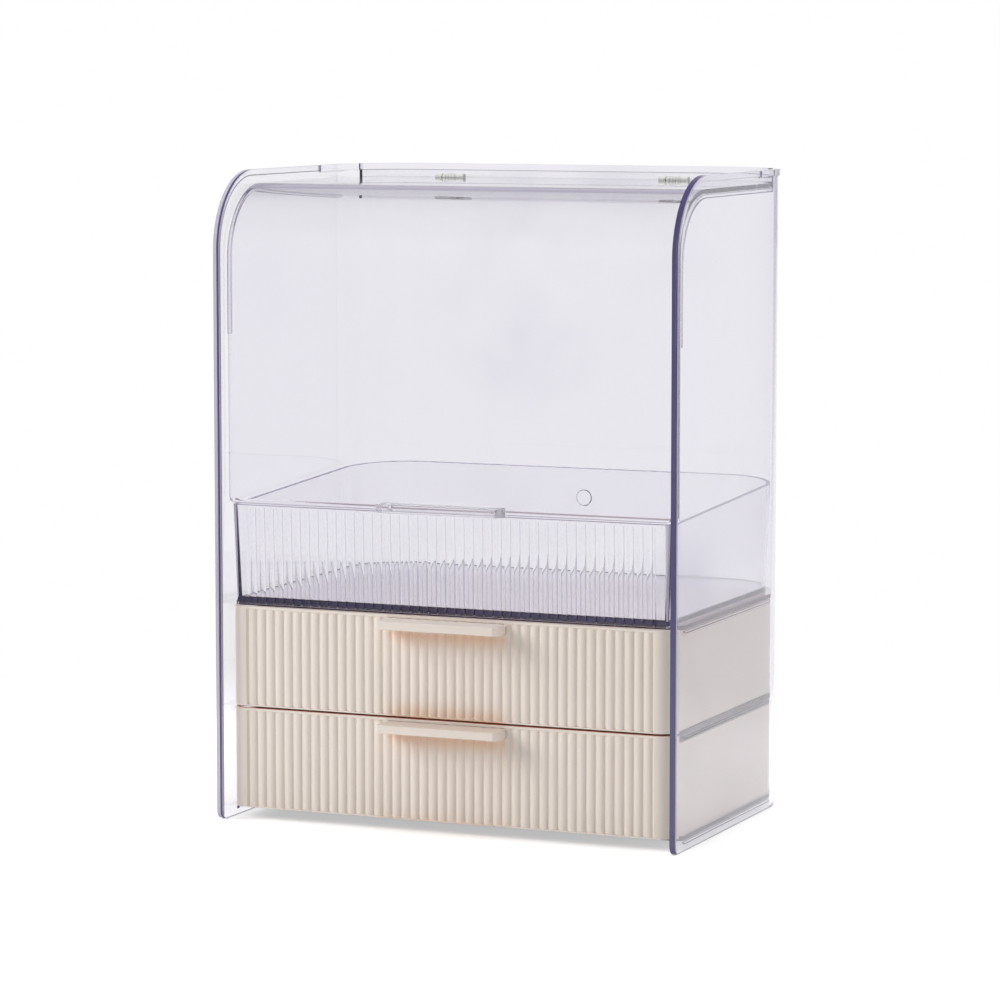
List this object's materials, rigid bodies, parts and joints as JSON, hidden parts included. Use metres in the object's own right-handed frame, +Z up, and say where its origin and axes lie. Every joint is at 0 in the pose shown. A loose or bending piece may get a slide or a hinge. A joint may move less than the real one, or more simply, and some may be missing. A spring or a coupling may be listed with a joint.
{
  "type": "makeup display case",
  "caption": "Clear desktop makeup case with a hinged curved lid over an open display tray and two ribbed drawers below.",
  "frame": {"origin": "on the ground, under the middle of the whole object's box, drawer handles included", "axes": "+Z up, the front with the lid and the drawer handles faces -Y, +X to the right when facing the front"},
  "size_m": [0.25, 0.188, 0.33],
  "materials": {
    "clear_case": "polished clear plastic with a faint lavender tint, violet at its edges",
    "clear_tray": "polished clear plastic, ribbed front",
    "cream_plastic": "satin cream plastic",
    "hinge_plastic": "translucent off-white plastic"
  },
  "bodies": {
    "root": {"housing_shell": "clear_case", "bottom_plate": "clear_case", "middle_shelf": "clear_case", "upper_shelf": "clear_case", "rear_cap": "clear_case", "display_tray": "clear_tray", "left_hinge_cap_leaf": "hinge_plastic", "left_hinge_pin": "hinge_plastic", "right_hinge_cap_leaf": "hinge_plastic", "right_hinge_pin": "hinge_plastic"},
    "lid": {"lid": "clear_case", "lid_handle": "clear_case", "left_hinge_lid_leaf": "hinge_plastic", "right_hinge_lid_leaf": "hinge_plastic"},
    "lower_drawer": {"lower_drawer": "cream_plastic", "lower_drawer_handle": "cream_plastic"},
    "upper_drawer": {"upper_drawer": "cream_plastic", "upper_drawer_handle": "cream_plastic"}
  },
  "joints": [
    {"name": "lid_hinge", "type": "hinge", "parent": "root", "child": "lid", "pos_m": [0, 0.0715, 0.323], "axis": [-1, 0, 0], "range_deg": [0, 110]},
    {"name": "lower_drawer_slide", "type": "slide", "parent": "root", "child": "lower_drawer", "axis": [0, -1, 0], "range_m": [0, 0.13]},
    {"name": "upper_drawer_slide", "type": "slide", "parent": "root", "child": "upper_drawer", "axis": [0, -1, 0], "range_m": [0, 0.13]}
  ]
}
